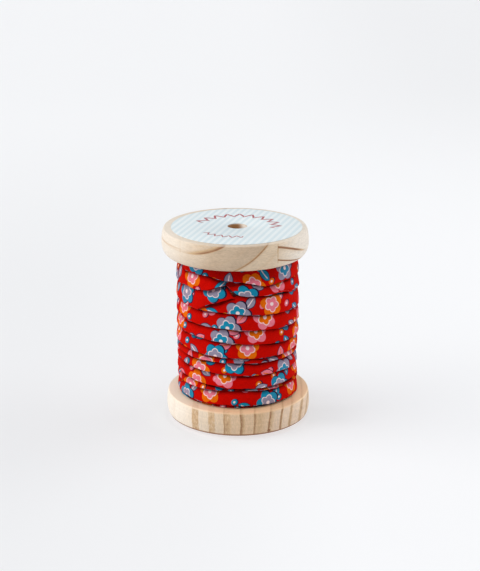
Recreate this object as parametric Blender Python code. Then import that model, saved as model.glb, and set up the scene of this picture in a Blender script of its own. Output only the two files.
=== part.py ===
"""A roll of printed bias tape wound on a turned wooden spool.

The spool stands upright on its lower disc. The Z axis is the axis of its bore, the floor is at
z = 0 and the side that faces -Y is the front. Each function makes one sub-part.
"""
import math

import bmesh
import bpy
from mathutils import Color

MM = 0.001
CLEARANCE = 0.3 * MM

# Spool: two turned discs, a little off the bore's axis, on a tube.
SPOOL_HEIGHT = 87.1 * MM
BORE_RADIUS = 4.1 * MM
DISC_SIDES = 60
# Each disc: radius, thickness, how far below its top it is widest, how far its top and its
# bottom edge draw in, and how far its middle lies to the right of the bore.
UPPER_DISC = {"radius": 32.0 * MM, "thickness": 11.2 * MM, "widest_below_top": 6.2 * MM,
              "top_draws_in": 1.35 * MM, "bottom_draws_in": 2.6 * MM, "off_centre": -0.65 * MM}
LOWER_DISC = {"radius": 31.9 * MM, "thickness": 12.4 * MM, "widest_below_top": 5.9 * MM,
              "top_draws_in": 1.0 * MM, "bottom_draws_in": 5.2 * MM, "off_centre": 0.7 * MM}
CORNER_STEPS = 4
BARREL_RADIUS = 20.0 * MM

# Paper label on the upper disc.
LABEL_RADIUS = 28.5 * MM
LABEL_THICKNESS = 0.4 * MM
LABEL_HOLE_RADIUS = 4.3 * MM

# Tape: folded to this width and thickness, and wound upwards, each turn over the one below.
TAPE_WIDTH = 8.0 * MM
TAPE_THICKNESS = 0.9 * MM
EDGE_LIP = 0.27 * MM
LEAST_VISIBLE = 0.5 * MM
WINDING_COLUMNS = 60
WINDING_ROWS = 4
MERGE_DISTANCE = 0.02 * MM
# The lower edge of each turn in mm above the floor, at 60 degrees left of the front, at the
# front and at 60 degrees right of it, and the radius of the tape there in mm. A turn's right
# end runs round the back to the left end of the next row.
EDGE_ANGLE = 60.0
TURNS = (
    # left, front, right, left radius, front radius, right radius
    (79.0, 77.6, 75.6, 26.9, 27.0, 27.2),
    (73.4, 70.0, 68.3, 26.9, 27.0, 27.4),
    (64.6, 64.2, 62.2, 27.1, 27.5, 27.7),
    (56.8, 56.1, 53.9, 27.2, 27.5, 27.6),
    (49.9, 49.0, 47.2, 27.2, 27.4, 27.6),
    (44.0, 42.7, 40.5, 27.1, 27.2, 27.5),
    (37.0, 35.8, 35.0, 26.9, 26.9, 27.1),
    (33.6, 33.5, 32.5, 26.7, 26.6, 26.5),
    (29.3, 27.8, 27.2, 26.6, 26.5, 26.4),
    (23.6, 21.8, 21.5, 26.5, 26.4, 26.3),
    (20.0, 20.7, 19.8, 26.4, 26.5, 26.6),
    (14.2, 14.0, 13.3, 26.4, 26.8, 27.0),
    (9.6, 9.2, 8.6, 26.2, 26.6, 26.9),
)

# Main twist: at the upper front one edge arches up over a diagonal fold of the turn below.
ARCHED_TURN = 2
ARCH_ANGLE = -13.0
ARCH_HALF_WIDTH = 22.0
ARCH_RISE = 3.0 * MM
FOLD_TURN = 3
FOLD_FOOT_ANGLE = -36.0
FOLD_TOP_ANGLE = -4.0
FOLD_LENGTH = 34.0
FOLD_RISE = 0.9 * MM

WOOD_COLOUR = (0.86, 0.74, 0.60)
LABEL_COLOUR = (0.76, 0.84, 0.88)
TAPE_COLOUR = (0.72, 0.02, 0.02)


def clear_scene():
    for item in list(bpy.data.objects):
        bpy.data.objects.remove(item, do_unlink=True)


def plain_material(name, colour, roughness):
    """A Principled material in one linear colour."""
    material = bpy.data.materials.new(name)
    material.use_nodes = True
    shader = material.node_tree.nodes["Principled BSDF"]
    shader.inputs["Base Color"].default_value = (*Color(colour), 1.0)
    shader.inputs["Roughness"].default_value = roughness
    shader.inputs["Metallic"].default_value = 0.0
    return material


def add_object(name, bm, material, sharp_angle):
    """Turn a closed bmesh into a smooth-shaded object of the scene."""
    bmesh.ops.recalc_face_normals(bm, faces=bm.faces)
    mesh = bpy.data.meshes.new(name)
    bm.to_mesh(mesh)
    bm.free()
    mesh.materials.append(material)
    mesh.shade_smooth()
    mesh.set_sharp_from_angle(angle=math.radians(sharp_angle))
    item = bpy.data.objects.new(name, mesh)
    bpy.context.scene.collection.objects.link(item)
    return item


def turned(name, rings, sides, material):
    """A closed turned body from (radius, height, offset to the right) rings in order."""
    bm = bmesh.new()
    loops = []
    for radius, height, offset in rings:
        loop = []
        for side in range(sides):
            angle = 2.0 * math.pi * side / sides
            loop.append(bm.verts.new((offset + radius * math.cos(angle),
                                      radius * math.sin(angle), height)))
        loops.append(loop)
    for loop, following in zip(loops, loops[1:] + loops[:1]):
        for side in range(sides):
            other = (side + 1) % sides
            bm.faces.new((loop[side], loop[other], following[other], following[side]))
    return add_object(name, bm, material, sharp_angle=40.0)


def corner(radius, draws_in, start, end):
    """(radius, height) points of an elliptic edge, from its flat face to the widest ring."""
    points = []
    for step in range(CORNER_STEPS + 1):
        turn = 0.5 * math.pi * step / CORNER_STEPS
        points.append((radius - draws_in * (1.0 - math.sin(turn)),
                       end + (start - end) * math.cos(turn)))
    return points


def disc(name, size, bottom, material):
    """One end of the spool: two elliptic edges that meet at the widest ring, and the bore."""
    top = bottom + size["thickness"]
    widest = top - size["widest_below_top"]
    lower_edge = corner(size["radius"], size["bottom_draws_in"], bottom, widest)
    upper_edge = corner(size["radius"], size["top_draws_in"], top, widest)
    rings = [(BORE_RADIUS, bottom, 0.0)]
    rings += [(radius, height, size["off_centre"]) for radius, height in lower_edge]
    rings += [(radius, height, size["off_centre"]) for radius, height in upper_edge[-2::-1]]
    rings += [(BORE_RADIUS, top, 0.0)]
    return turned(name, rings, DISC_SIDES, material)


def tube(name, outer, inner, bottom, top, material):
    rings = [(inner, bottom, 0.0), (outer, bottom, 0.0), (outer, top, 0.0), (inner, top, 0.0)]
    return turned(name, rings, DISC_SIDES, material)


def smooth_step(value):
    value = min(max(value, 0.0), 1.0)
    return value * value * (3.0 - 2.0 * value)


def along_turns(position, first_column):
    """Smooth value at a position counted in turns, from three columns of the turns table.

    Whole numbers are the front of each turn. The curve is a Hermite spline through the points.
    """
    side = EDGE_ANGLE / 360.0
    stops = []
    for turn, row in enumerate(TURNS):
        for column, shift in enumerate((-side, 0.0, side)):
            stops.append((turn + shift, row[first_column + column] * MM))
    if position <= stops[0][0]:
        return stops[0][1]
    for index in range(len(stops) - 1):
        (left, low), (right, high) = stops[index], stops[index + 1]
        if position <= right:
            before = stops[max(index - 1, 0)]
            after = stops[min(index + 2, len(stops) - 1)]
            span = right - left
            slope_left = (high - before[1]) / (right - before[0]) * span
            slope_right = (after[1] - low) / (after[0] - left) * span
            t = (position - left) / span
            return ((2 * t ** 3 - 3 * t ** 2 + 1) * low + (t ** 3 - 2 * t ** 2 + t) * slope_left
                    + (3 * t ** 2 - 2 * t ** 3) * high + (t ** 3 - t ** 2) * slope_right)
    return stops[-1][1]


def lower_edge(position):
    """Height of the tape's lower edge, with the arch at the upper front."""
    height = along_turns(position, 0)
    away = (position - ARCHED_TURN) * 360.0 - ARCH_ANGLE
    if abs(away) < ARCH_HALF_WIDTH:
        height += ARCH_RISE * math.cos(0.5 * math.pi * away / ARCH_HALF_WIDTH) ** 2
    return height


def fold_rise(turn, angle, share):
    """How far the twisted turn stands out, at a share of the way up it."""
    if turn != FOLD_TURN:
        return 0.0
    fold_angle = FOLD_FOOT_ANGLE + share * (FOLD_TOP_ANGLE - FOLD_FOOT_ANGLE)
    behind = (fold_angle - angle) / FOLD_LENGTH
    if behind < 0.0:
        return 0.0
    return FOLD_RISE * (1.0 - smooth_step(behind))


def winding_column(angle, bottom, top):
    """(radius, height) points up the outside of the winding at one angle from the front."""
    points = []
    for turn in range(len(TURNS) - 1, -1, -1):
        position = turn + angle / 360.0
        edge = lower_edge(position)
        above = lower_edge(position - 1.0) if turn else edge + TAPE_WIDTH
        radius = along_turns(position, 3)
        visible = max(above - edge, LEAST_VISIBLE)
        lip = min(EDGE_LIP, 0.2 * visible)
        tilt = TAPE_THICKNESS * min(visible / TAPE_WIDTH, 1.0)
        # The foot of the step, its lip, and the way up to the next edge.
        points.append((radius - TAPE_THICKNESS, edge))
        for row in range(1, WINDING_ROWS):
            share = (row - 1) / (WINDING_ROWS - 1)
            height = edge + lip + share * (visible - lip)
            points.append((radius - tilt * share ** 1.5 + fold_rise(turn, angle, share), height))
    return clipped(points, bottom, top)


def clipped(outline, bottom, top):
    """The same number of points, with those beyond an end moved to where the line crosses it."""

    def radius_at(height):
        for (first, low), (second, high) in zip(outline, outline[1:]):
            if low <= height <= high and high > low:
                return first + (second - first) * (height - low) / (high - low)
        return outline[-1][0]

    result = []
    for radius, height in outline:
        limited = min(max(height, bottom), top)
        result.append((radius if limited == height else radius_at(limited), limited))
    return result


def winding(name, bottom, top, inner, material):
    """The wound tape as one ring-shaped solid with stepped turns.

    The turns form a screw, so each column of points is one turn ahead where it comes round.
    Coincident points are merged, which joins the two ends and closes the clipped turns.
    """
    bm = bmesh.new()
    columns = []
    for column in range(WINDING_COLUMNS + 1):
        angle = -180.0 + 360.0 * column / WINDING_COLUMNS
        heading = math.radians(angle)
        direction = (math.sin(heading), -math.cos(heading))
        outline = winding_column(angle, bottom, top)
        outline = [(inner, bottom)] + outline + [(inner, top)]
        columns.append([bm.verts.new((radius * direction[0], radius * direction[1], height))
                        for radius, height in outline])
    for left, right in zip(columns, columns[1:]):
        for row in range(len(left)):
            above = (row + 1) % len(left)
            bm.faces.new((left[row], right[row], right[above], left[above]))
    bmesh.ops.remove_doubles(bm, verts=bm.verts, dist=MERGE_DISTANCE)
    bmesh.ops.dissolve_degenerate(bm, dist=MERGE_DISTANCE, edges=bm.edges)
    bmesh.ops.triangulate(bm, faces=bm.faces)
    return add_object(name, bm, material, sharp_angle=45.0)


def main():
    clear_scene()
    wood = plain_material("wood", WOOD_COLOUR, 0.6)
    paper = plain_material("label_paper", LABEL_COLOUR, 0.7)
    cloth = plain_material("tape_cloth", TAPE_COLOUR, 0.85)
    lower_top = LOWER_DISC["thickness"]
    upper_bottom = SPOOL_HEIGHT - UPPER_DISC["thickness"]
    between = (lower_top + CLEARANCE, upper_bottom - CLEARANCE)
    disc("flange_lower", LOWER_DISC, 0.0, wood)
    disc("flange_upper", UPPER_DISC, upper_bottom, wood)
    tube("barrel", BARREL_RADIUS, BORE_RADIUS, *between, wood)
    winding("tape_winding", *between, BARREL_RADIUS + CLEARANCE, cloth)
    label_bottom = SPOOL_HEIGHT + CLEARANCE
    tube("label", LABEL_RADIUS, LABEL_HOLE_RADIUS, label_bottom,
         label_bottom + LABEL_THICKNESS, paper)


main()
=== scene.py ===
"""Finished look of a roll of printed bias tape on a turned wooden spool.

Laid out as an add-on: property groups hold the sizes and colours, one operator builds each group
of pieces, and a panel lists them. Lengths are in metres where a comment or a name doesn't say
mm, and the front faces -Y.
"""

import math

import bpy
import numpy as np
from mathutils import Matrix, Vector


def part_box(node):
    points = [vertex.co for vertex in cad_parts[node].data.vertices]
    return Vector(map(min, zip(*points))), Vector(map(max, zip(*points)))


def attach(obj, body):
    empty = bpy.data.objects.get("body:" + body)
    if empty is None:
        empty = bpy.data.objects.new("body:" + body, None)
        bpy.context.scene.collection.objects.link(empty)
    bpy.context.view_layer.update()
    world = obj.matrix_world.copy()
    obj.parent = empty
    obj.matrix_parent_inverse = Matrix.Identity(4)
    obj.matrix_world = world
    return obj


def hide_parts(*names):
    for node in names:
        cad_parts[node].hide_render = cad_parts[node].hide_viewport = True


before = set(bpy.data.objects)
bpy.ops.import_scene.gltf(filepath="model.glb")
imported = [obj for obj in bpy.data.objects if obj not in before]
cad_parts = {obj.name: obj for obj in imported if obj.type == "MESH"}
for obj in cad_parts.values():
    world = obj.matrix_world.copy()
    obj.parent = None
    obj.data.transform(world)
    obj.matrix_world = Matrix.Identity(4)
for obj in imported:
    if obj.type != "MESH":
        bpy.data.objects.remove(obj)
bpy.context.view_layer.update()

bl_info = {
    "name": "Roll of Bias Tape",
    "version": (1, 0, 0),
    "blender": (4, 5, 0),
    "location": "3D View > Sidebar > Bias Tape",
    "description": "Builds a roll of printed bias tape on a wooden spool, with its label and stage",
    "category": "Add Mesh",
}

MM = 0.001
LOWER_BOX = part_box("flange_lower")
UPPER_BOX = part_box("flange_upper")
WINDING_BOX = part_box("tape_winding")
SPOOL_HEIGHT = UPPER_BOX[1].z

# Turned edges of the two discs: how far below its top a disc is widest, and how far its top and
# its bottom edge draw in.
UPPER_EDGES = {"widest_below_top": 6.2 * MM, "top_draws_in": 1.35 * MM,
               "bottom_draws_in": 2.6 * MM}
LOWER_EDGES = {"widest_below_top": 5.9 * MM, "top_draws_in": 1.0 * MM}
# Foot of the lower disc: (how far it draws in, height in mm) from the floor up.
LOWER_FOOT = ((5.6, 0.0), (4.2, 0.5), (2.85, 1.0), (1.7, 1.5), (0.95, 2.0), (0.6, 2.7),
              (0.38, 3.6), (0.13, 4.8), (0.0, 6.5))
DISC_SIDES = 160
EDGE_STEPS = 12
SHARP_ANGLE = math.radians(50.0)

# Lower edge of each turn in mm above the floor and its radius in mm, at 60 degrees left of the
# front, at the front and at 60 degrees right. Rows run round the back into the next row.
EDGE_ANGLE = 60.0
TURNS = (
    # left, front, right, left radius, front radius, right radius
    (79.0, 77.6, 75.6, 26.6, 27.0, 27.2),
    (73.4, 70.3, 68.3, 26.4, 27.0, 27.3),
    (64.6, 64.2, 62.2, 26.4, 27.4, 27.6),
    (56.8, 56.1, 53.9, 26.5, 27.4, 27.6),
    (49.9, 49.0, 47.2, 26.4, 27.3, 27.6),
    (44.0, 42.7, 40.5, 26.4, 27.1, 27.4),
    (37.0, 35.8, 35.0, 26.5, 26.8, 27.0),
    (33.6, 33.5, 32.5, 26.3, 26.5, 26.7),
    (29.3, 27.8, 27.2, 26.3, 26.5, 26.9),
    (23.6, 21.8, 21.5, 26.3, 26.5, 27.0),
    (20.0, 20.7, 19.8, 26.2, 26.6, 27.2),
    (14.2, 14.0, 13.3, 26.2, 26.8, 27.3),
    (9.6, 9.2, 8.6, 26.0, 26.6, 27.0),
    (3.0, 2.5, 2.0, 26.0, 26.6, 27.0),
)
# Edges near the folds that leave the even run of the turns: turn, then (angle, height in mm).
EDGE_DETAILS = (
    (1, ((-66, 72.6), (-58, 71.8), (-46, 71.9), (-34, 72.2), (-24, 71.8), (-18, 71.2),
         (-12, 70.8), (-4, 70.5), (3, 70.3), (12, 69.6), (27, 67.7), (42, 68.2), (56, 68.4))),
    (2, ((-66, 65.4), (-53, 65.5), (-44, 65.2), (-33, 65.6), (-26, 66.4), (-20, 67.4),
         (-14, 68.4), (-9, 69.2), (-6.5, 67.9), (-4, 66.9), (-0.5, 65.6), (3, 64.7), (9, 63.9),
         (20, 63.8), (35, 64.0), (46, 63.6), (58, 62.4))),
)
# Degrees over which such an edge runs back into the even turns.
EDGE_FADE = 8.0
# The tape is laid in three lengths that meet at diagonal folds. Each row of a length's table is
# (turn, angle, how far it stands out in mm) along it.
TOP_LENGTH = ((0, 126, 0.0), (1, -60, 0.0), (1, -30, 0.5), (1, -5, 0.2), (1, 30, 0.3),
              (1, 70, 0.0), (2, -72, 0.0), (2, -38, 0.6), (2, -22, 1.3), (2, -6, 1.0),
              (2, 8, 0.3), (2, 25, 0.5), (2, 58, 0.4))
MIDDLE_LENGTH = ((2, 14, -0.75), (2, 25, -0.5), (2, 58, -0.4), (2, 85, 0.0), (3, -74, 0.0),
                 (3, -40, 0.9), (3, -25, 1.2), (3, 2, 0.8))
LOWER_LENGTH = ((3, -50, -0.5), (3, -36, -0.1), (3, 0, 0.0), (12, 170, 0.0))
# Mean radius of the turns in mm, which gives the length along the tape.
MEAN_RADIUS = 27.2
# A turn's outside swells by its crown and dips into a groove at the edge of the turn above.
CROWN = 0.18 * MM
GROOVE_DEPTH = 0.65 * MM
GROOVE_REACH = 1.3 * MM
# From one layer of tape to the next, as a share of its thickness.
LAYER_PITCH = 1.05
# Number of turns above that a tape is followed in under.
TURNS_ABOVE = 5
# Least height from a turn's edge to the next edge, and least width of a length of tape.
LEAST_STEP = 0.4 * MM
LEAST_WIDTH = 0.3 * MM
# Diagonal fold lines: (angle, height in mm) points.
UPPER_FOLD_TOP = ((14, 70.5), (22, 67.9), (33, 66.2), (41, 64.7), (50, 63.4), (58, 62.8))
LOWER_FOLD_FOOT = ((-40, 55.5), (-36, 57.2), (-30, 59.0), (-23, 60.2), (-16, 61.1), (-10, 62.3),
                   (-5, 63.2), (2, 63.4))
LOWER_FOLD_TOP = ((-60, 66.4), (-40, 67.0), (-25, 68.2), (-12, 69.6), (-9.5, 68.9), (-7, 67.2),
                  (-5, 65.2), (-3, 63.8), (2, 63.6))
# Painted shade in the gaps at the folds, made wider there: turn, angle, half width in degrees,
# extra width in mm.
PAINTED_GAP_SHADE = ((2, -6.0, 12.0, 0.75), (3, -16.0, 14.0, 0.5))

# Grain lines of the wood: (place in mm, soft side in mm, width in mm, sharp side in mm, depth).
LOWER_LINES = (
    (-27.5, 2.0, 0.2, 0.6, 0.12), (-5.6, 0.3, 0.2, 0.6, 0.80), (1.8, 0.4, 0.25, 1.0, 0.90),
    (7.6, 0.35, 0.25, 0.7, 0.86), (14.0, 0.5, 0.2, 0.8, 0.96), (19.1, 0.5, 0.35, 0.6, 0.86),
    (23.3, 0.6, 0.2, 0.8, 0.68), (28.0, 0.8, 0.4, 0.9, 0.66), (30.9, 0.5, 0.3, 0.4, 0.60),
)
LOWER_BANDS = (
    (-19.1, 0.6, 2.3, 0.6, 0.46), (-12.2, 0.4, 2.3, 0.6, 0.40), (-4.8, 0.3, 1.4, 1.6, 0.46),
    (2.6, 0.3, 0.6, 0.9, 0.32), (8.3, 0.3, 1.6, 3.4, 0.34), (14.8, 0.3, 0.6, 1.3, 0.28),
    (23.8, 0.3, 0.5, 0.9, 0.20),
)
UPPER_LINES = (
    (28.8, 1.2, 0.2, 0.5, 0.14), (34.0, 0.8, 0.2, 0.5, 0.20), (36.9, 1.7, 0.3, 0.35, 0.92),
    (43.0, 1.5, 0.2, 0.6, 0.10), (48.5, 0.6, 0.25, 0.4, 0.80), (53.8, 1.4, 0.3, 0.6, 0.18),
    (59.0, 1.2, 0.3, 0.5, 0.22), (65.0, 1.2, 0.3, 0.5, 0.18), (71.0, 1.2, 0.3, 0.5, 0.16),
)
# Lines that one colour ramp holds, and the least step between two of its stops.
LINES_PER_RAMP = 7
STOP_STEP = 0.0005
# Across and up to the middle of the upper disc's rings, and across to its finger joint, in mm.
UPPER_RING_CENTRE = (-23.3, 119.4)
FINGER_JOINT = 17.3
# Radius of the label's ring of stitches, in mm.
STITCH_RING = 17.0

# The print, in mm: soft edge of the ink, way from a motif to its shade, and distance between
# leaves and between blossoms. A motif is turned by up to SPIN, in radians.
INK_EDGE = 0.13
SHADE_SHIFT = (0.30, -0.22)
MOTIF_PITCH = 14.8
PETALS = 5.0
SPIN = 6.28

# Camera: width of the sensor in mm, and lens and shift in pixels of a 571 pixel high picture.
SENSOR = 36.0
PICTURE_HEIGHT = 571.0
LENS_PIXELS = 1512.0
SHIFT_PIXELS = (3.35, 35.67)


def length_setting(name, description, default, least):
    return bpy.props.FloatProperty(name=name, description=description, default=default,
                                   min=least, unit="LENGTH", subtype="DISTANCE")


def strength_setting(name, description, default):
    return bpy.props.FloatProperty(name=name, description=description, default=default, min=0.0)


def colour_setting(name, description, default):
    return bpy.props.FloatVectorProperty(name=name, description=description, default=default,
                                         size=3, min=0.0, max=1.0, subtype="COLOR")


class SpoolSettings(bpy.types.PropertyGroup):
    bore_radius: length_setting(
        "Bore radius", "Radius of the hole through the spool", 4.1 * MM, MM)
    pale_wood: colour_setting(
        "Pale wood", "Colour of the wood between its grain lines", (0.665, 0.515, 0.36))
    # Painted highlight: a paler, less yellow wood laid where the discs' sides and edges catch the
    # light.
    highlight_wood: colour_setting(
        "Sap wood", "Colour of the palest wood, on the left of each disc", (0.77, 0.69, 0.595))
    honey_wood: colour_setting(
        "Honey wood", "Colour of the lower disc in front and on the right", (0.66, 0.465, 0.295))
    # Painted light on the lower disc's top face: lit from above, paler on its left, and warm with
    # light reflected from the red tape.
    tape_bounce_top: colour_setting(
        "Warm top", "Colour of the lower disc's top face beside the tape", (0.80, 0.51, 0.295))
    lit_top: colour_setting(
        "Pale top", "Colour of the lower disc's top face on its left", (0.92, 0.80, 0.66))
    tan_wood: colour_setting(
        "Tan wood", "Colour of broad grain bands and of the fibres", (0.56, 0.37, 0.20))
    late_wood: colour_setting("Late wood", "Colour of the grain lines", (0.26, 0.105, 0.038))
    bore: colour_setting("Bore", "Colour of the drilled wall of the bore", (0.34, 0.145, 0.04))


class LabelSettings(bpy.types.PropertyGroup):
    radius: length_setting("Radius", "Radius of the paper label", 28.45 * MM, MM)
    hole_radius: length_setting(
        "Hole radius", "Radius of the hole punched in the label", 4.3 * MM, MM)
    thickness: length_setting("Thickness", "Thickness of the label's paper", 0.22 * MM, 0.05 * MM)
    stripe_pitch: length_setting(
        "Stripe pitch", "Distance from one stripe to the next", 2.83 * MM, 0.5 * MM)
    paper: colour_setting("Paper", "Colour of the paper", (0.77, 0.825, 0.835))
    stripe: colour_setting("Stripe", "Colour of the printed stripes", (0.64, 0.73, 0.76))
    stitch: colour_setting("Stitch", "Colour of the ring of printed stitches", (0.36, 0.02, 0.03))


class TapeSettings(bpy.types.PropertyGroup):
    width: length_setting("Width", "Width of the folded tape", 8.0 * MM, MM)
    thickness: length_setting(
        "Thickness", "Thickness of the folded tape, four layers at its edge", 0.9 * MM, 0.2 * MM)
    steps_per_turn: bpy.props.IntProperty(
        name="Steps per turn", description="Sections along one turn of the tape",
        default=210, min=24)
    red: colour_setting("Red ground", "Ground colour of the print", (0.57, 0.003, 0.001))
    pink: colour_setting("Pink", "Pink of the print", (0.83, 0.205, 0.27))
    orange: colour_setting("Orange", "Orange of the print", (0.80, 0.15, 0.003))
    teal: colour_setting("Teal", "Teal of the print", (0.004, 0.265, 0.425))
    lilac: colour_setting("Lilac", "Lilac grey of the print", (0.30, 0.28, 0.37))
    white: colour_setting("White", "White of the print", (0.95, 0.76, 0.74))
    navy: colour_setting("Navy", "Outline colour of the print", (0.010, 0.010, 0.035))


class StageSettings(bpy.types.PropertyGroup):
    floor: colour_setting("Floor", "Colour of the floor", (0.43, 0.43, 0.435))
    glow: colour_setting("Glow", "Colour of the floor's own light", (0.97, 0.98, 1.0))
    glow_strength: strength_setting("Glow strength", "Strength of the floor's own light", 0.47)
    distance: length_setting(
        "Camera distance", "From the camera to the middle of the spool", 669.7 * MM, 0.1)
    elevation: bpy.props.FloatProperty(
        name="Camera elevation", description="How far above level the camera stands",
        default=math.radians(19.32), subtype="ANGLE")
    sky: strength_setting("Sky", "Strength of the even light from all round", 0.36)
    key_light: strength_setting("Key light", "Strength of the low soft light from the left", 2.0)
    rim_light: strength_setting(
        "Rim light", "Strength of the soft light from behind on the right", 1.6)
    top_light: strength_setting("Top light", "Strength of the wide light overhead", 1.25)


def maths_method(operation):
    """A method of Signal that adds one Math node."""
    return lambda self, *others: self.maths(operation, self, *others)


class Signal:
    """A varying number in a material: arithmetic on it adds Math nodes."""

    def __init__(self, painter, socket):
        self.painter = painter
        self.socket = socket

    def maths(self, operation, *numbers):
        return self.painter.signal("ShaderNodeMath", {"operation": operation},
                                   dict(enumerate(numbers)))

    def __rsub__(self, other):
        return self.maths("SUBTRACT", other, self)

    __add__ = __radd__ = maths_method("ADD")
    __sub__ = maths_method("SUBTRACT")
    __mul__ = __rmul__ = maths_method("MULTIPLY")
    __truediv__ = maths_method("DIVIDE")
    __abs__ = maths_method("ABSOLUTE")
    floor = maths_method("FLOOR")
    root = maths_method("SQRT")
    sine = maths_method("SINE")
    cosine = maths_method("COSINE")
    at_most = maths_method("MINIMUM")
    # 1 where the number is over the limit, else 0.
    over = maths_method("GREATER_THAN")
    # Angle in radians of a point this far up and that far across.
    angle_from = maths_method("ARCTAN2")

    def ramp(self, start, end):
        """Runs smoothly from 0 at start to 1 at end."""
        if start > end:
            return 1.0 - self.ramp(end, start)
        return self.painter.signal(
            "ShaderNodeMapRange", {"interpolation_type": "SMOOTHSTEP"},
            {"Value": self, "From Min": start, "From Max": end, "To Min": 0.0, "To Max": 1.0})


class Painter:
    """The node tree of one material."""

    def __init__(self, name, roughness):
        self.material = bpy.data.materials.new(name)
        self.material.use_nodes = True
        self.tree = self.material.node_tree
        self.shader = self.tree.nodes["Principled BSDF"]
        self.shader.inputs["Roughness"].default_value = roughness

    def node(self, kind, settings=None, sockets=None):
        """Add a node: first its settings, among them a ramp's stops, then values and links."""
        made = self.tree.nodes.new(kind)
        for key, value in (settings or {}).items():
            if key == "stops":
                self.set_stops(made.color_ramp, value)
            else:
                setattr(made, key, value)
        for key, value in (sockets or {}).items():
            if isinstance(value, Signal):
                value = value.socket
            if isinstance(value, bpy.types.NodeSocket):
                self.tree.links.new(value, made.inputs[key])
            else:
                made.inputs[key].default_value = value
        return made

    def signal(self, kind, settings, sockets=None, output=0):
        """The varying number that a new node gives."""
        return Signal(self, self.node(kind, settings, sockets).outputs[output])

    @staticmethod
    def set_stops(ramp, stops):
        for _ in range(len(stops) - 2):
            ramp.elements.new(0.5)
        for element, (place, level) in zip(ramp.elements, stops):
            element.position = place
            element.color = (level, level, level, 1.0)

    def place_mm(self):
        """X, Y and Z of the surface in millimetres."""
        where = self.node("ShaderNodeTexCoord").outputs["Object"]
        return self.parts(self.scaled(where, 1.0 / MM))

    def parts(self, vector):
        split = self.node("ShaderNodeSeparateXYZ", sockets={0: vector})
        return [Signal(self, output) for output in split.outputs]

    def joined(self, x, y, z):
        return self.node("ShaderNodeCombineXYZ", sockets={0: x, 1: y, 2: z}).outputs[0]

    def noise(self, x, y, z, detail=2.0, rough=0.5):
        """Soft noise around 0, mostly within half either way."""
        return self.signal("ShaderNodeTexNoise", {"normalize": True},
                           {"Vector": self.joined(x, y, z), "Scale": 1.0, "Detail": detail,
                            "Roughness": rough}, "Fac") - 0.5

    def chance(self, x, y, z):
        """Three random numbers from 0 to 1, the same for equal inputs."""
        made = self.node("ShaderNodeTexWhiteNoise", {"noise_dimensions": "3D"},
                         {"Vector": self.joined(x, y, z)})
        return self.parts(made.outputs["Color"])

    def blend(self, share, first, second, kind="MIX"):
        """Colour that goes from first to second as share goes from 0 to 1."""
        return self.node("ShaderNodeMix", {"data_type": "RGBA", "blend_type": kind},
                         {0: share, 6: rgba(first), 7: rgba(second)}).outputs[2]

    def multiplied(self, share, colour, tint):
        """A colour dyed by another one, as far as the share says."""
        return self.blend(share, colour, tint, "MULTIPLY")

    def scaled(self, vector, factor):
        """A place or a colour times a factor."""
        return self.node("ShaderNodeVectorMath", {"operation": "SCALE"},
                         {0: vector, "Scale": factor}).outputs[0]

    def printed(self, colour, inside, ink, here=None):
        """Ink over a colour inside a motif; here tells which of the motifs are there."""
        share = inside.ramp(-INK_EDGE, INK_EDGE)
        return self.blend(share if here is None else share * here, colour, ink)

    def grain_line(self, value, low, high, lines):
        """Depth of the grain line that a coordinate falls on; one ramp holds a few lines."""
        total = 0.0
        for first in range(0, len(lines), LINES_PER_RAMP):
            stops = [(0.0, 0.0)]
            for place, soft, width, sharp, depth in lines[first:first + LINES_PER_RAMP]:
                for position, level in ((place - soft, 0.0), (place, depth),
                                        (place + width, depth), (place + width + sharp, 0.0)):
                    share = (position - low) / (high - low)
                    stops.append((max(share, stops[-1][0] + STOP_STEP), level))
            stops.append((1.0, 0.0))
            ramp = self.node("ShaderNodeValToRGB", {"stops": stops},
                             {0: (value - low) / (high - low)})
            total = total + self.parts(ramp.outputs[0])[0]
        return total

    def finish(self, colour, height, bump_mm, roughness=None):
        """Link the colour, the bump from a height in 0 to 1, and a varying roughness."""
        self.tree.links.new(colour, self.shader.inputs["Base Color"])
        bump = self.node("ShaderNodeBump", {}, {"Strength": 1.0, "Distance": bump_mm * MM,
                                                "Height": height})
        self.tree.links.new(bump.outputs[0], self.shader.inputs["Normal"])
        if roughness is not None:
            self.tree.links.new(roughness.socket, self.shader.inputs["Roughness"])
        return self.material


def rgba(colour):
    """A colour with its alpha, or a socket as it is."""
    if isinstance(colour, bpy.types.NodeSocket):
        return colour
    return (*colour, 1.0)


def add_object(name, data):
    """A new object, linked to the scene."""
    made = bpy.data.objects.new(name, data)
    bpy.context.scene.collection.objects.link(made)
    return made


def add_piece(name, points, faces, material, uv=None):
    """A mesh piece, smooth but for its sharp edges, that rides on the spool's body."""
    mesh = bpy.data.meshes.new(name)
    mesh.from_pydata([tuple(point) for point in points], [], faces)
    mesh.validate()
    if uv is not None:
        layer = mesh.uv_layers.new(name="along_across")
        corners = np.empty(len(mesh.loops), dtype=np.int32)
        mesh.loops.foreach_get("vertex_index", corners)
        layer.data.foreach_set("uv", uv[corners].astype(np.float32).ravel())
    mesh.materials.append(material)
    mesh.shade_smooth()
    mesh.set_sharp_from_angle(angle=SHARP_ANGLE)
    piece = add_object(name, mesh)
    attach(piece, "root")
    return piece


def ring_faces(rings, sides):
    """Faces of a closed turned form, whose last ring joins its first."""
    faces = []
    for ring in range(rings):
        start, following = ring * sides, (ring + 1) % rings * sides
        for side in range(sides):
            other = (side + 1) % sides
            faces.append((start + side, start + other, following + other, following + side))
    return faces


def turned_piece(name, rings, material):
    """A closed turned piece from (radius, height, offset to the right) rings in order."""
    angle = np.arange(DISC_SIDES) * 2.0 * math.pi / DISC_SIDES
    points = np.concatenate([
        np.stack([offset + radius * np.cos(angle), radius * np.sin(angle),
                  np.full(DISC_SIDES, height)], axis=1)
        for radius, height, offset in rings])
    return add_piece(name, points, ring_faces(len(rings), DISC_SIDES), material)


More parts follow.
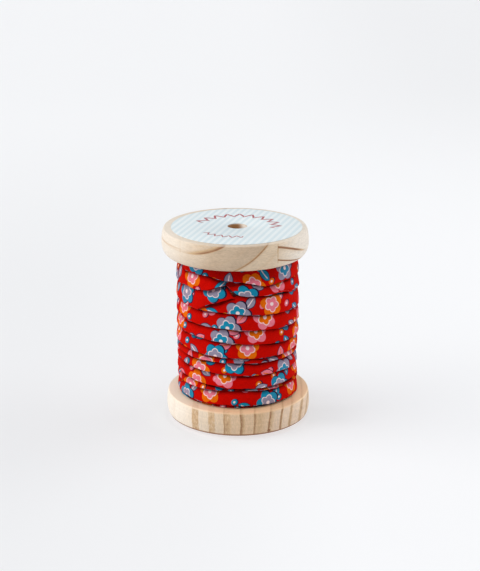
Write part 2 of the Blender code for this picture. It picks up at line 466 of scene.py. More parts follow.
def rounded_edge(radius, draws_in, start, end):
    """(radius, height) points of an elliptic edge, from its flat face to the widest ring."""
    points = []
    for step in range(EDGE_STEPS + 1):
        turn = 0.5 * math.pi * step / EDGE_STEPS
        points.append((radius - draws_in * (1.0 - math.sin(turn)),
                       end + (start - end) * math.cos(turn)))
    return points


def disc_piece(name, box, edges, bore_radius, material):
    """One disc of the spool with finer edges than its solid."""
    low, high = box
    radius = (high.x - low.x) / 2.0
    offset = (high.x + low.x) / 2.0
    chamfer = 0.25 * MM
    widest = high.z - edges["widest_below_top"]
    if "bottom_draws_in" in edges:
        lower = rounded_edge(radius, edges["bottom_draws_in"], low.z, widest)
    else:
        lower = [(radius - inwards * MM, low.z + height * MM) for inwards, height in LOWER_FOOT]
    upper = rounded_edge(radius, edges["top_draws_in"], high.z, widest)
    rings = [(bore_radius, low.z, 0.0)]
    rings += [(size, height, offset) for size, height in (*lower, *upper[-2::-1])]
    rings += [(bore_radius + chamfer, high.z, 0.0), (bore_radius, high.z - chamfer, 0.0)]
    return turned_piece(name, rings, material)


def wood_fibres(paint, across, along, height):
    """Fine fibres, long in one direction, as a number around 0."""
    coarse = paint.noise(across * 0.9, along * 0.1, height * 0.15, 3.0, 0.65)
    fine = paint.noise(across * 3.0, along * 0.5, height * 0.7, 3.0, 0.75)
    return coarse * 0.35 + fine * 0.9


def timber(paint, spool, ground, depth, fibres, place):
    """Colour of the wood: a pale ground, darker lines and fine fibres.

    The drilled bore is brown, and painted paler on its right as painted light.
    """
    x, y, z = place
    tan = paint.blend(depth.ramp(0.0, 0.5), ground, spool.tan_wood)
    colour = paint.blend(depth.ramp(0.35, 1.0), tan, spool.late_wood)
    # The fibres show less on the left, washed out there by the painted highlight.
    colour = paint.scaled(colour, 1.0 + fibres * (0.4 + x.ramp(-26.0, -8.0) * 0.4))
    radius = (x * x + y * y).root()
    # Painted light: the bore's right wall, which faces the light, is painted pale.
    bore = paint.blend(x.ramp(0.4, 3.6), spool.bore, spool.highlight_wood)
    return paint.blend((radius - spool.bore_radius / MM).ramp(0.16, 0.04), colour, bore)


def lower_wood(spool):
    """Quarter-sawn pine: grain lines stand upright in the side and run back over the top."""
    paint = Painter("pine_lower_disc", 0.55)
    x, y, z = paint.place_mm()
    wander = (paint.noise(x * 0.05, y * 0.06, z * 0.12, 1.0) * 1.4
              + paint.noise(x * 0.5, y * 0.3, z * 0.5, 1.0) * 0.35)
    lean = (z - 6.0) * x.ramp(2.0, 16.0) * -0.10
    where = x + wander + lean
    speckle = paint.noise(x * 1.1, y * 0.5, z * 0.6, 4.0, 0.75)
    line = paint.grain_line(where, -33.0, 33.0, LOWER_LINES) * (0.95 + speckle * 0.9)
    band = paint.grain_line(where, -33.0, 33.0, LOWER_BANDS) * (1.0 + speckle * 3.0)
    knot = ((x - 14.0) * (x - 14.0) + (z - 3.4) * (z - 3.4) * 1.6).ramp(0.9, 0.1) * 0.6
    fleck = paint.noise(x * 2.4, y * 0.8, z * 0.9, 2.0, 0.6).ramp(0.16, 0.3) * 0.35
    depth = (line + band + knot + fleck).at_most(1.0)
    slow = paint.noise(x * 0.08, y * 0.05, z * 0.1, 2.0)
    # Painted highlight: the left of the disc, which faces the key light, takes the highlight wood
    # and is made lighter still.
    ground = paint.blend((x + slow * 14.0).ramp(-34.0, -2.0), spool.highlight_wood, spool.pale_wood)
    ground = paint.scaled(ground, 1.0 + x.ramp(-14.0, -26.0) * 0.08)
    ground = paint.blend((x + slow * 6.0).ramp(-12.0, 3.0), ground, spool.honey_wood)
    # Painted highlight: the right edge of the disc is made lighter and less yellow.
    ground = paint.multiplied((x + slow * 6.0).ramp(12.0, 20.0), ground, (1.07, 1.13, 1.28))
    turning = paint.noise(x * 0.02, y * 0.02, z * 1.8, 2.0) * 0.35
    colour = timber(paint, spool, ground, depth, wood_fibres(paint, x, y, z) + turning,
                    (x, y, z))
    # Painted light: the top face is lit from above, so it is painted lighter, warm with light
    # reflected from the tape, and lighter still on its right.
    top = paint.blend((x + slow * 10.0).ramp(-38.0, 0.0), spool.lit_top, spool.tape_bounce_top)
    top = paint.multiplied(x.ramp(23.0, 29.0), top, (1.22, 1.35, 1.4))
    colour = paint.blend(z.ramp(11.5, 12.2) * (0.86 - depth * 0.3), colour, top)
    # Painted shade: a dark line at the foot, where the bottom edge turns under into shadow.
    colour = paint.blend(z.ramp(3.0, 2.2) * 0.95, colour, spool.late_wood)
    return paint.finish(colour, depth, 0.04, 0.55 - depth * 0.1)


def upper_wood(spool):
    """Flat-sawn pine with curved rings and the slanting glue lines of a finger joint."""
    paint = Painter("pine_upper_disc", 0.55)
    x, y, z = paint.place_mm()
    wander = paint.noise(x * 0.04, y * 0.04, z * 0.1, 1.0) * 0.7
    across = x - UPPER_RING_CENTRE[0]
    down = z - UPPER_RING_CENTRE[1]
    ring = (across * across + down * down).root() + wander
    fade = (paint.noise(x * 0.09, y * 0.07, z * 0.05, 1.0) * 0.6 + 0.95) * (
        x.ramp(-23.0, -13.0) * 0.8 + 0.2)
    line = paint.grain_line(ring, 26.0, 76.0, UPPER_LINES) * fade
    beyond = x.over(FINGER_JOINT)
    past = x - FINGER_JOINT
    upper_glue = 85.65 - past * (0.25 + past * 0.0165) - z
    lower_glue = abs(z - (79.95 - past * 0.32))
    run_out = x.ramp(31.0, 24.0)
    glue = (upper_glue.ramp(-0.4, 0.0) * upper_glue.ramp(0.85, 0.35)
            + upper_glue.over(0.2) * upper_glue.ramp(3.0, 0.2) * 0.26
            + lower_glue.ramp(0.5, 0.15)) * run_out
    seam = abs(past).ramp(0.30, 0.10) * abs(z - 82.6).ramp(4.6, 3.6) * 0.4
    far_board = paint.noise(x * 0.05, y * 0.05, z * 0.8, 3.0) * 0.35
    left_seam = abs(x + 23.8).ramp(0.28, 0.08) * 0.12 + (
        abs(z - 83.4).ramp(0.5, 0.1) * x.ramp(-22.5, -25.5) * 0.15)
    fleck = paint.noise(z * 2.4, y * 0.8, x * 0.7, 2.0, 0.6).ramp(0.18, 0.32) * 0.3
    depth = (line * (1.0 - beyond) + beyond * (glue * 0.95 + far_board)
             + seam + left_seam + fleck).at_most(1.0)
    slow = paint.noise(x * 0.08, y * 0.05, z * 0.1, 2.0)
    # Painted highlight: the highlight wood on the left and the far right of the disc, where its
    # sides catch the light.
    share = (x + slow * 14.0).ramp(-36.0, -10.0) * (1.0 - (x + slow * 6.0).ramp(15.0, 27.0) * 0.95)
    ground = paint.blend(share, spool.highlight_wood, spool.pale_wood)
    # Darker middle of the disc's side inside a ring: partly darker heartwood, partly painted shade.
    heartwood_and_shade = ((x + slow * 10.0).ramp(-29.0, -5.0) * ring.ramp(50.0, 48.2)
             * (ring.ramp(33.5, 36.8) * 0.55 + 0.45))
    ground = paint.multiplied(heartwood_and_shade * (0.85 + slow * 1.6), ground, (0.76, 0.72, 0.70))
    colour = timber(paint, spool, ground, depth, wood_fibres(paint, z, y, x), (x, y, z))
    # Painted highlight: the top edge, lit from above, turns towards the highlight wood.
    colour = paint.blend(z.ramp(86.6, 87.3) * 0.6, colour, spool.highlight_wood)
    return paint.finish(colour, depth, 0.04, 0.55 - depth * 0.1)


def bore_wood(spool):
    """The drilled wall of the tube, darker where the drill has rubbed it, and painted paler on its
    right as painted light.
    """
    paint = Painter("pine_bore", 0.7)
    x, y, z = paint.place_mm()
    rings = paint.noise(x * 0.3, y * 0.3, z * 1.6, 3.0, 0.6)
    colour = paint.blend(rings + 0.6, spool.bore, [channel * 0.5 for channel in spool.bore])
    # Painted light: the right of the wall, which faces the light, is painted tan.
    colour = paint.blend(x.ramp(1.2, 3.8) * 0.8, colour, spool.tan_wood)
    return paint.finish(colour, rings, 0.08)


class BIASTAPE_OT_spool(bpy.types.Operator):
    """Build the two turned discs and finish the tube between them"""
    bl_idname = "biastape.spool"
    bl_label = "Wooden Spool"

    def execute(self, context):
        spool = context.scene.bias_spool
        lower = disc_piece("spool_lower_disc", LOWER_BOX, LOWER_EDGES, spool.bore_radius,
                           lower_wood(spool))
        upper = disc_piece("spool_upper_disc", UPPER_BOX, UPPER_EDGES, spool.bore_radius,
                           upper_wood(spool))
        for piece, node in ((lower, "flange_lower"), (upper, "flange_upper")):
            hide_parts(node)
        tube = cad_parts["barrel"].data
        tube.materials.clear()
        tube.materials.append(bore_wood(spool))
        return {"FINISHED"}


def label_paper(label):
    """Uncoated paper with slanting pale stripes and a ring of printed zigzag stitches."""
    paint = Painter("label_paper", 0.62)
    x, y, z = paint.place_mm()
    lean = math.radians(72.0)
    across = x * math.sin(lean) - y * math.cos(lean)
    fibre = paint.noise(x * 2.2, y * 2.2, z, 4.0, 0.65)
    wave = (across * (2.0 * math.pi * MM / label.stripe_pitch)).sine()
    colour = paint.blend((wave + fibre * 0.5).ramp(-0.75, 0.75), label.paper, label.stripe)
    radius = (x * x + y * y).root()
    angle = y.angle_from(x)
    bold = zigzag(angle, radius, 21.0, 2.1, 0.62) * (angle + 0.2).ramp(-0.02, 0.02)
    bold = bold * (angle - 2.8).ramp(0.02, -0.02)
    fine = zigzag(angle, radius, 30.0, 1.3, 0.42) * abs(angle + 1.95).ramp(0.56, 0.53)
    worn = (fibre + 0.62).ramp(0.0, 0.35)
    colour = paint.blend((bold + fine) * worn * 0.92, colour, label.stitch)
    return paint.finish(colour, fibre, 0.03)


def zigzag(angle, radius, count, swing, half_width):
    """A printed zigzag stitch on a ring of the label, with a gap at each of its points."""
    step = 2.0 * math.pi * STITCH_RING / count
    beat = angle * (count / (2.0 * math.pi))
    slant = abs(beat - beat.floor() - 0.5) * 4.0 - 1.0
    steepness = math.hypot(1.0, 4.0 * swing / step)
    away = abs(radius - STITCH_RING - slant * swing) / steepness
    return away.ramp(half_width, half_width * 0.55) * abs(slant).ramp(0.98, 0.86)


class BIASTAPE_OT_label(bpy.types.Operator):
    """Build the round paper label on the upper disc"""
    bl_idname = "biastape.label"
    bl_label = "Paper Label"

    def execute(self, context):
        label = context.scene.bias_label
        bottom = SPOOL_HEIGHT + 0.02 * MM
        top = bottom + label.thickness
        edge = 0.06 * MM
        hole_offset = 0.3 * MM
        rings = [(label.hole_radius, bottom, hole_offset), (label.radius, bottom, 0.0),
                 (label.radius + edge, bottom + edge, 0.0), (label.radius, top - edge / 2, 0.0),
                 (label.radius - 2.0 * edge, top, 0.0),
                 (label.hole_radius + edge, top, hole_offset),
                 (label.hole_radius, top - edge, hole_offset)]
        piece = turned_piece("paper_label", rings, label_paper(label))
        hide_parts("label")
        return {"FINISHED"}


def spline(stops, values, at):
    """Hermite curve through the points, read at an array of positions."""
    stops, values = np.asarray(stops, float), np.asarray(values, float)
    at = np.clip(at, stops[0], stops[-1])
    index = np.clip(np.searchsorted(stops, at) - 1, 0, len(stops) - 2)
    before, after = np.maximum(index - 1, 0), np.minimum(index + 2, len(stops) - 1)
    span = stops[index + 1] - stops[index]
    left = (values[index + 1] - values[before]) / (stops[index + 1] - stops[before]) * span
    right = (values[after] - values[index]) / (stops[after] - stops[index]) * span
    t = (at - stops[index]) / span
    return ((2 * t ** 3 - 3 * t ** 2 + 1) * values[index] + (t ** 3 - 2 * t ** 2 + t) * left
            + (3 * t ** 2 - 2 * t ** 3) * values[index + 1] + (t ** 3 - t ** 2) * right)


def along_turns(position, first_column):
    """Value at positions counted in turns, from three columns of the turns table, in metres."""
    side = EDGE_ANGLE / 360.0
    stops = [turn + shift for turn in range(len(TURNS)) for shift in (-side, 0.0, side)]
    values = [row[first_column + column] * MM for row in TURNS for column in range(3)]
    return spline(stops, values, position)


def degrees_from(position, turn):
    """Degrees to the right from the front of a turn."""
    return (position - turn) * 360.0


def along_mm(position):
    """Distance along the tape in mm."""
    return position * 2.0 * math.pi * MEAN_RADIUS


def line_height(points, position, turn):
    """Height, near one turn, of a line through (angle, height in mm) points."""
    return np.interp(degrees_from(position, turn), [point[0] for point in points],
                     [point[1] * MM for point in points])


def edge_height(position):
    """Height of the tape's lower edge."""
    height = along_turns(position, 0)
    for turn, points in EDGE_DETAILS:
        angle = degrees_from(position, turn)
        start, end = points[0][0], points[-1][0]
        share = np.clip(np.minimum(angle - start, end - angle) / EDGE_FADE, 0.0, 1.0)
        height = height + (line_height(points, position, turn) - height) * share
    return height


def row_position(row):
    """Position of a row of a length's table, counted in turns."""
    return row[0] + row[1] / 360.0


def stands_out(position, length):
    """How far a length of tape stands out from the turns table, from its own table."""
    return np.interp(position, [row_position(row) for row in length],
                     [row[2] * MM for row in length])


def top_most(position):
    """Radius of the outermost length of tape at a position."""
    on_top = position < row_position(TOP_LENGTH[-1])
    return along_turns(position, 3) + np.where(on_top, stands_out(position, TOP_LENGTH), 0.0)


def edge_above(position):
    """Height of the lower edge of the turn above."""
    return np.maximum(edge_height(position - 1), edge_height(position) + LEAST_STEP)


def outer_radius(position, height, own_rise, tucked, thickness):
    """Radius of the outside of a tape: it runs in under each turn above it.

    position, own_rise and tucked are columns, and height is a table with a row for each of
    their numbers. tucked is how far deeper the tape lies where another length covers it.
    """
    level = thickness * LAYER_PITCH
    below, start = edge_height(position), along_turns(position, 3) + own_rise
    radius = start
    next_edge = edge_above(position)
    up = np.clip((height - below) / (next_edge - below), 0.0, 1.0)
    crown = CROWN * np.sin(np.pi * np.clip(up * 1.25, 0.0, 1.0))
    groove = GROOVE_DEPTH * np.clip(1.0 - np.abs(height - next_edge) / GROOVE_REACH, 0.0, 1.0)
    for above in range(1, TURNS_ABOVE + 1):
        reached = np.maximum(edge_height(position - above), below + LEAST_STEP)
        end = top_most(position - above) - above * level - tucked
        share = np.clip((height - below) / (reached - below), 0.0, 1.0)
        radius = np.where(height > below, start + (end - start) * share, radius)
        below, start = reached, end
    return radius + crown - groove


# Section of the folded tape: share of the way up its width, mm added to that, and how far out
# from its inner face, as a share of the thickness. Two leaves part at the lower edge.
SECTION = (
    (0.30, 0.0, 0.52), (0.0, 0.12, 0.54), (0.0, 0.02, 0.62), (0.0, -0.02, 0.74),
    (0.0, 0.03, 0.88), (0.0, 0.16, 0.97), (0.0, 0.55, 1.0), (0.22, 0.0, 1.0),
    (0.40, 0.0, 1.0), (0.58, 0.0, 1.0), (0.76, 0.0, 1.0), (0.90, 0.0, 1.0),
    (1.0, -0.25, 0.96), (1.0, -0.05, 0.75), (1.0, 0.0, 0.5), (1.0, -0.05, 0.2),
    (1.0, -0.3, 0.0), (0.5, 0.0, 0.0), (0.0, 0.5, 0.0), (0.0, 0.08, 0.05),
    (0.0, 0.0, 0.2), (0.0, 0.03, 0.36), (0.0, 0.14, 0.45), (0.30, 0.0, 0.48),
)
OUTER_LEAF_POINTS = 15
# How far below the edge above it the cloth is taken to lie, in mm, where it is never in the open;
# this sets the painted shade on it.
INNER_LEAF_UNDER = 1.3
COVERED_UNDER = 0.9


def ripple(along, across):
    """Small puckers of bias-cut cloth, in metres; along and across are in mm."""
    slow = 0.5 + 0.5 * np.sin(along * 0.19 + 1.7 + np.sin(along * 0.053))
    slanted = np.sin(along * 0.83 + across * 0.9 + 2.0 * np.sin(along * 0.11))
    fine = np.sin(along * 2.1 - across * 0.8 + 1.5 * np.sin(along * 0.37))
    return (0.09 * slow * slanted + 0.03 * fine) * MM


def table(*columns):
    """Arrays spread against each other and laid out as the columns of one table."""
    return np.stack(np.broadcast_arrays(*columns), axis=2).reshape(-1, len(columns))


def wound(radius, angle, height):
    """Points at an angle to the right of the front."""
    return table(radius * np.sin(angle), -radius * np.cos(angle), height)


def ribbon_faces(count, size):
    """Faces of a closed ribbon of count sections with size points each."""
    faces = [tuple(range(size))]
    for step in range(count - 1):
        for side in range(size):
            other = (side + 1) % size
            faces.append((step * size + side, (step + 1) * size + side,
                          (step + 1) * size + other, step * size + other))
    faces.append(tuple((count - 1) * size + side for side in reversed(range(size))))
    return faces


def tape_length(name, tape, length, shape, material):
    """One length of folded tape laid along the turns as a closed ribbon.

    shape holds functions of the position: its lower and upper edge, the edge that covers it, how
    far it is tucked under another length, and how far its middle bulges.
    """
    start, end = row_position(length[0]), row_position(length[-1])
    count = int((end - start) * tape.steps_per_turn) + 1
    position = np.linspace(start, end, count)[:, None]
    along = along_mm(position)
    waver = (0.11 * np.sin(along * 0.31 + np.sin(along * 0.09) * 2.0)
             + 0.05 * np.sin(along * 1.17)) * MM
    foot = shape["lower"](position) + waver
    head = np.maximum(shape["upper"](position), foot + LEAST_WIDTH)
    low, high = WINDING_BOX[0].z + 0.05 * MM, WINDING_BOX[1].z - 0.02 * MM
    foot, head = np.clip(foot, low, high - LEAST_WIDTH), np.clip(head, low + LEAST_WIDTH, high)
    width = head - foot
    small = np.clip(width / (1.6 * MM), 0.1, 1.0)
    share, extra, depth = (np.array(column) for column in zip(*SECTION))
    inner_leaf = np.arange(len(SECTION)) >= OUTER_LEAF_POINTS
    peeks = np.where(inner_leaf & (share < 0.1), 1.0, 0.0) * inner_leaf_peeks(position)
    height = np.clip(foot + share * width + extra * MM * small - peeks * small, low, high)
    across = (height - edge_height(position)) / MM
    radius = outer_radius(position, height, stands_out(position, length),
                          shape["tucked"](position), tape.thickness)
    radius = radius - (1.0 - depth) * tape.thickness + ripple(along, across)
    rise = np.clip((height - foot) / width, 0.0, 1.0)
    radius = radius + shape["bulge"](position) * np.sin(np.pi * rise)
    fabric = np.where(inner_leaf, 2.0 * tape.width / MM - across, across)
    piece = add_piece(name, wound(radius, np.radians(position * 360.0), height),
                      ribbon_faces(count, len(SECTION)), material, table(along, fabric))
    # How far below the covering edge each point lies, which sets the painted shade in the cloth.
    under = shape["cover"](position) - inner_leaf_peeks(position - 1) - gap(position)
    under = np.where(inner_leaf, INNER_LEAF_UNDER, (under - height) / MM)
    mark_under(piece, under.ravel())
    return piece


def inner_leaf_peeks(position):
    """How far the tape's inner leaf shows below the outer one."""
    along = along_mm(position)
    return (0.14 + 0.30 * np.sin(along * 0.23 + 0.8) + 0.16 * np.sin(along * 0.71)) * MM


def gap(position):
    """How much wider the painted shade under the turn above is where the folds lift it."""
    wider = 0.0
    for turn, angle, half_width, extra in PAINTED_GAP_SHADE:
        away = np.abs(degrees_from(position, turn) - angle) / half_width
        wider = wider + extra * MM * np.clip(1.0 - away, 0.0, 1.0)
    return wider


def mark_under(piece, distances):
    """Store, for each point, how far in mm it lies below the edge of the turn above; the cloth's
    painted shade is read from it.
    """
    attribute = piece.data.attributes.new("under_edge", "FLOAT", "POINT")
    attribute.data.foreach_set("value", np.asarray(distances, dtype=np.float32))


def covered_turns(name, tape, material):
    """The wound turns under the outer ones, as one closed ring."""
    columns, rows = 96, 30
    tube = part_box("barrel")
    inner = (tube[1].x - tube[0].x) / 2.0 + 0.3 * MM
    low, high = WINDING_BOX[0].z + 0.1 * MM, WINDING_BOX[1].z - 0.1 * MM
    heights = np.linspace(low, high, rows)
    fronts = [(row[1] * MM, row[4] * MM) for row in reversed(TURNS)]
    outer = np.interp(heights, *zip(*fronts)) - 2.3 * tape.thickness
    radius = np.concatenate([[inner], outer, [inner]])[:, None]
    height = np.concatenate([[low], heights, [high]])[:, None]
    angle = np.arange(columns) * 2.0 * math.pi / columns
    piece = add_piece(name, wound(radius, angle, height), ring_faces(len(radius), columns),
                      material, table(angle * radius / MM, height / MM))
    # Painted shade: the covered turns get a fixed distance below an edge, which paints them dark.
    mark_under(piece, np.full(len(radius) * columns, COVERED_UNDER))
    return piece


def scattered(paint, warp, weft, pitch, shift, seed, jitter):
    """Place of a point from the jittered middle of its half-drop grid cell.

    The cell's three random numbers come after it.
    """
    column = warp / pitch + shift
    row = weft / pitch + column.floor() * 0.5 + shift
    cell_x, cell_y = column.floor(), row.floor()
    picks = paint.chance(cell_x, cell_y, seed)
    x = (column - cell_x - 0.5) * pitch + (picks[1] - 0.5) * jitter
    y = (row - cell_y - 0.5) * pitch + (picks[2] - 0.5) * jitter
    return x, y, picks


def berries(paint, tape, colour, warp, weft):
    """Print round berries, each with a white spot, over a colour."""
    x, y, picks = scattered(paint, warp, weft, 7.3, 0.3, 3.0, 2.6)
    pick, squash = picks[0], 0.72
    shade_x, shade_y = x - SHADE_SHIFT[0], y - SHADE_SHIFT[1]
    inside = 1.25 - (x * x * squash + y * y).root()
    shade = 1.42 - (shade_x * shade_x * squash + shade_y * shade_y).root()
    here = pick.over(0.50)
    ink = paint.blend(pick.over(0.68), tape.teal,
                      paint.blend(pick.over(0.84), tape.orange, tape.pink))
    colour = paint.printed(colour, shade, tape.navy, here)
    colour = paint.printed(colour, inside, ink, here)
    return paint.printed(colour, inside - 0.78, tape.white, here)


def leaves(paint, tape, colour, warp, weft):
    """Print outlined leaves, each with a rib, over a colour."""
    x, y, picks = scattered(paint, warp, weft, MOTIF_PITCH, 0.5, 7.0, 1.0)
    pick, spin = picks[0], picks[1] * SPIN
    long_way = x * spin.cosine() + y * spin.sine()
    short_way = y * spin.cosine() - x * spin.sine()
    inside = 1.75 * (1.0 - long_way * long_way / 10.9) - abs(short_way)
    on_rib = abs(short_way).ramp(0.30, 0.14) * abs(long_way).ramp(2.3, 1.9)
    ink = paint.blend(pick.over(0.45), tape.teal,
                      paint.blend(pick.over(0.7), tape.lilac, tape.pink))
    rib = paint.blend(pick.over(0.7), tape.white, tape.orange)
    colour = paint.printed(colour, inside + 0.36, tape.navy)
    colour = paint.printed(colour, inside, ink)
    return paint.printed(colour, inside, rib, on_rib)


def petals(x, y, size, twist, notch):
    """How far inside a round-petalled blossom a point lies, in mm."""
    angle = y.angle_from(x) + twist
    lobes = abs((angle * (PETALS / 2.0)).cosine())
    return size * (1.0 - notch + lobes * notch) - (x * x + y * y).root()


def blossoms(paint, tape, colour, warp, weft, wobble):
    """Print blossoms with two rings of petals and a white middle over a colour."""
    x, y, picks = scattered(paint, warp, weft, MOTIF_PITCH, 0.0, 0.0, 1.8)
    x, y = x + wobble, y + wobble
    pick, twist = picks[0], picks[1] * SPIN
    cool, pink_first, teal_first = pick.over(0.56), pick.over(0.27), pick.over(0.84)
    outer = petals(x, y, 5.5, twist, 0.27)
    shade = petals(x - SHADE_SHIFT[0], y - SHADE_SHIFT[1], 5.86, twist, 0.27)
    inner = petals(x, y, 3.2, twist + 0.63, 0.30)
    outer_ink = paint.blend(cool, paint.blend(pink_first, tape.pink, tape.orange),
                            paint.blend(teal_first, tape.teal, tape.lilac))
    inner_ink = paint.blend(cool, paint.blend(pink_first, tape.orange, tape.pink),
                            paint.blend(teal_first, tape.lilac, tape.teal))
    colour = paint.printed(colour, shade, tape.navy, cool)
    colour = paint.printed(colour, outer, outer_ink)
    colour = paint.printed(colour, inner + 0.36, tape.white)
    colour = paint.printed(colour, inner, inner_ink)
    return paint.blend((x * x + y * y).root().ramp(0.95, 0.7), colour, tape.white)


def shaded(paint, colour, along):
    """Painted shade: a colour darkened near the edge of the turn above, in the gap there, and below
    the disc, whose shadow is painted on the top turns.
    """
    under = paint.signal("ShaderNodeAttribute", {"attribute_name": "under_edge"}, output="Fac")
    # Painted shade under the edge of the turn above.
    colour = paint.multiplied(under.ramp(2.4, 0.4) * 0.62, colour, (0.25, 0.16, 0.20))
    side, _, above = paint.place_mm()
    # Painted shadow of the upper disc on the top turns, in front and behind.
    disc_shadow = above.ramp(69.0, 72.0) * side.ramp(-25.0, -12.0) * side.ramp(27.0, 12.0)
    colour = paint.multiplied(disc_shadow * 0.62, colour, (0.40, 0.34, 0.40))
    # Painted shade: a near-black line close under each edge, uneven along it.
    patchy = paint.noise(along * 0.14, under * 0.2, 6.0, 2.0).ramp(-0.16, 0.12) * 0.7 + 0.3
    return paint.multiplied(under.ramp(1.0, 0.6) * patchy * 0.85, colour, (0.10, 0.07, 0.12))


def printed_cotton(tape):
    """Red cotton with a scattered print of blossoms, leaves and berries, and a bias weave."""
    paint = Painter("printed_cotton", 0.9)
    paint.shader.inputs["Specular IOR Level"].default_value = 0.01
    paint.shader.inputs["Sheen Weight"].default_value = 0.45
    paint.shader.inputs["Sheen Roughness"].default_value = 0.45
    paint.shader.inputs["Sheen Tint"].default_value = (0.95, 0.05, 0.03, 1.0)
    cloth = paint.node("ShaderNodeUVMap", {"uv_map": "along_across"})
    along, across = paint.parts(cloth.outputs[0])[:2]
    # The weave runs at 45 degrees to a tape that is cut on the bias, and so does the print.
    warp = (along + across) * 0.7071
    weft = (across - along) * 0.7071
    wobble = paint.noise(along * 0.35, across * 0.35, 0.0, 2.0) * 0.5
    colour = berries(paint, tape, tape.red, warp, weft)
    colour = leaves(paint, tape, colour, warp, weft)
    colour = blossoms(paint, tape, colour, warp, weft, wobble)

    # Threads, slubs and slight unevenness of the dye.
    thread = 2.0 * math.pi / 0.36
    weave = (warp * thread).sine() * (weft * thread).sine()
    slub = (paint.noise(warp * 2.6, weft * 0.35, 0.0, 2.0)
            + paint.noise(weft * 2.6, warp * 0.35, 5.0, 2.0))
    dye = paint.noise(along * 0.12, across * 0.35, 1.0, 3.0)
    level = (0.5 + dye * 0.9 + slub * 0.5 + weave * 0.10).ramp(0.0, 1.0)
    colour = paint.multiplied((1.0 - level) * 0.42, colour, (0.35, 0.30, 0.34))
    pucker = paint.noise(along * 0.5 + across * 0.45, across * 0.2, 2.0, 3.0)
    height = weave * 0.10 + slub * 0.20 + pucker * 1.6
    return paint.finish(shaded(paint, colour, along), height, 0.13, 0.88 + slub * 0.1)


class BIASTAPE_OT_tape(bpy.types.Operator):
    """Wind the folded tape on the spool in stepped turns"""
    bl_idname = "biastape.tape"
    bl_label = "Bias Tape"

    def execute(self, context):
        tape = context.scene.bias_tape
        cloth = printed_cotton(tape)

        def full_width(position):
            return edge_height(position) + tape.width

        def along_fold(turn, angle, fold, before):
            """Height of a fold line from an angle of a turn on, and of an edge before it."""
            return lambda position: np.where(degrees_from(position, turn) > angle,
                                             line_height(fold, position, turn), before(position))

        def middle_foot(position):
            fold = along_fold(3, -40.0, LOWER_FOLD_FOOT, edge_height)
            return np.maximum(fold(position), edge_height(position))

        def under_bulge(position):
            near = np.abs(degrees_from(position, 3) + 20.0) < 19.0
            return np.where(near, line_height(LOWER_FOLD_FOOT, position, 3),
                            edge_above(position))

        def rise(size, turn, angles, shares):
            """A height that comes and goes with the angle near one turn."""
            return lambda position: size * np.interp(degrees_from(position, turn), angles, shares)

        flat = rise(0.0, 0, (0.0, 1.0), (0.0, 0.0))
        flap = rise(0.5 * MM, 2, (-12.0, 4.0, 22.0, 45.0), (0.0, 1.0, 1.0, 0.0))
        bulge = rise(1.0 * MM, 3, (-45.0, -25.0, -10.0, -3.0), (0.0, 1.0, 1.0, 0.3))
        under_fold = rise(tape.thickness * LAYER_PITCH, 3, (-5.0, 5.0), (1.0, 0.0))
        top_head = along_fold(2, 14.0, UPPER_FOLD_TOP, full_width)
        middle_head = along_fold(3, -60.0, LOWER_FOLD_TOP, full_width)
        top = {"lower": edge_height, "upper": top_head, "cover": edge_above, "tucked": flat,
               "bulge": flap}
        middle = {"lower": middle_foot, "upper": middle_head, "cover": edge_above,
                  "tucked": flat, "bulge": bulge}
        lowest = {"lower": edge_height, "upper": full_width, "cover": under_bulge,
                  "tucked": under_fold, "bulge": flat}
        for piece in (tape_length("tape_top_length", tape, TOP_LENGTH, top, cloth),
                      tape_length("tape_middle_length", tape, MIDDLE_LENGTH, middle, cloth),
                      tape_length("tape_lower_length", tape, LOWER_LENGTH, lowest, cloth),
                      covered_turns("tape_covered_turns", tape, cloth)):
            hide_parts("tape_winding")
        return {"FINISHED"}


def plain_floor(stage):
    """Pale matt floor, lit a little from below like a light table: a painted glow, so that shadows
    stay soft.
    """
    paint = Painter("pale_floor", 0.95)
    paint.shader.inputs["Emission Strength"].default_value = stage.glow_strength
    x, y = paint.place_mm()[:2]
    near_left = y.ramp(700.0, 150.0) * (x.ramp(50.0, -30.0) * 0.62 + x.ramp(-20.0, -110.0) * 0.38)
    far_right = y.ramp(200.0, 900.0) * x.ramp(0.0, 230.0)
    colour = paint.scaled(tuple(stage.floor), 1.03 - near_left * 0.18 - far_right * 0.10
                          - y.ramp(250.0, 800.0) * 0.09)
    radius = (x * x + y * y).root()
    # Painted light: the floor is made lighter close to the foot, in front and on the right, where
    # the contact shadow would fall.
    foot = radius.ramp(35.0, 30.5) * x.ramp(-28.0, -10.0)
    # Painted shadow: the floor is made darker beside the base on the right.
    floor_shadow_right = abs(y + 3.0).ramp(18.0, 4.0) * x.ramp(28.0, 33.0) * x.ramp(66.0, 36.0)
    # Painted light: the floor glows more right at the foot.
    glow = paint.scaled(tuple(stage.glow), 1.0 + radius.ramp(32.0, 28.5) * 0.38)
    paint.tree.links.new(glow, paint.shader.inputs["Emission Color"])
    return paint.finish(paint.scaled(colour, 1.0 + foot * 0.22 - floor_shadow_right * 0.13), foot, 0.01)


def soft_light(name, azimuth, elevation, spread, strength, colour):
    """A distant soft light; azimuth 0 is at the front and grows to the right, in degrees."""
    data = bpy.data.lights.new(name, "SUN")
    data.energy = strength
    data.angle = math.radians(spread)
    data.color = colour
    light = add_object(name, data)
    side, rise = math.radians(azimuth), math.radians(elevation)
    towards = Vector((math.cos(rise) * math.sin(side), -math.cos(rise) * math.cos(side),
                      math.sin(rise)))
    light.location = towards
    light.rotation_euler = towards.to_track_quat("Z", "Y").to_euler()


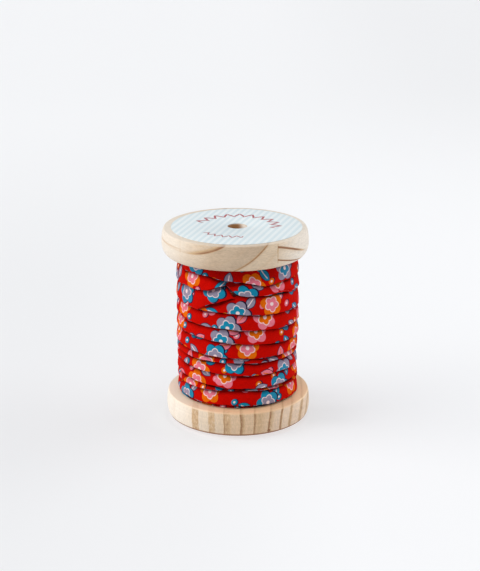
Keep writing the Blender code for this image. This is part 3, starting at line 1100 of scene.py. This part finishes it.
class BIASTAPE_OT_stage(bpy.types.Operator):
    """Add the floor, the soft lights and the camera"""
    bl_idname = "biastape.stage"
    bl_label = "Stage"

    def execute(self, context):
        stage = context.scene.bias_stage
        half = 4.0
        mesh = bpy.data.meshes.new("floor")
        mesh.from_pydata([(-half, -half, 0.0), (half, -half, 0.0), (half, half, 0.0),
                          (-half, half, 0.0)], [], [(0, 1, 2, 3)])
        mesh.materials.append(plain_floor(stage))
        floor = add_object("floor", mesh)
        world = bpy.data.worlds.new("studio")
        context.scene.world = world
        world.use_nodes = True
        background = world.node_tree.nodes["Background"]
        background.inputs["Color"].default_value = (0.95, 0.97, 1.0, 1.0)
        background.inputs["Strength"].default_value = stage.sky
        middle = (0.0, 0.0, SPOOL_HEIGHT / 2.0)
        soft_light("key_left", -84.0, 18.0, 60.0, stage.key_light, (1.0, 0.985, 0.96))
        soft_light("rim_right", 104.0, 20.0, 60.0, stage.rim_light, (0.97, 0.985, 1.0))
        soft_light("top", -35.0, 64.0, 80.0, stage.top_light, (0.98, 0.99, 1.0))
        context.scene.view_settings.view_transform = "Standard"
        self.add_camera(context, stage, middle)
        return {"FINISHED"}

    @staticmethod
    def add_camera(context, stage, middle):
        """A long view from the front, a little above the spool."""
        data = bpy.data.cameras.new("camera")
        data.sensor_width = SENSOR
        data.lens = SENSOR * LENS_PIXELS / PICTURE_HEIGHT
        data.shift_x = SHIFT_PIXELS[0] / PICTURE_HEIGHT
        data.shift_y = SHIFT_PIXELS[1] / PICTURE_HEIGHT
        data.clip_start = 0.01
        camera = add_object("camera", data)
        camera.location = (0.0, -stage.distance * math.cos(stage.elevation),
                           middle[2] + stage.distance * math.sin(stage.elevation))
        camera.rotation_euler = (math.pi / 2.0 - stage.elevation, 0.0, 0.0)
        context.scene.camera = camera


class BIASTAPE_PT_panel(bpy.types.Panel):
    """Sidebar panel with each piece's operator and settings"""
    bl_idname = "BIASTAPE_PT_panel"
    bl_label = "Roll of Bias Tape"
    bl_space_type = "VIEW_3D"
    bl_region_type = "UI"
    bl_category = "Bias Tape"

    def draw(self, context):
        for operator, settings in OPERATORS:
            box = self.layout.box()
            box.operator(operator)
            group = getattr(context.scene, settings)
            for name in group.__annotations__:
                box.prop(group, name)


OPERATORS = (("biastape.stage", "bias_stage"), ("biastape.spool", "bias_spool"),
             ("biastape.label", "bias_label"), ("biastape.tape", "bias_tape"))
SETTINGS = {"bias_spool": SpoolSettings, "bias_label": LabelSettings,
            "bias_tape": TapeSettings, "bias_stage": StageSettings}
CLASSES = (*SETTINGS.values(), BIASTAPE_OT_stage, BIASTAPE_OT_spool, BIASTAPE_OT_label,
           BIASTAPE_OT_tape, BIASTAPE_PT_panel)


def register():
    for item in CLASSES:
        bpy.utils.register_class(item)
    for name, group in SETTINGS.items():
        setattr(bpy.types.Scene, name, bpy.props.PointerProperty(type=group))


def unregister():
    for name in SETTINGS:
        delattr(bpy.types.Scene, name)
    for item in reversed(CLASSES):
        bpy.utils.unregister_class(item)


def main():
    """Register the add-on and build everything in order."""
    register()
    bpy.ops.biastape.stage()
    bpy.ops.biastape.spool()
    bpy.ops.biastape.label()
    bpy.ops.biastape.tape()


if __name__ == "__main__":
    main()
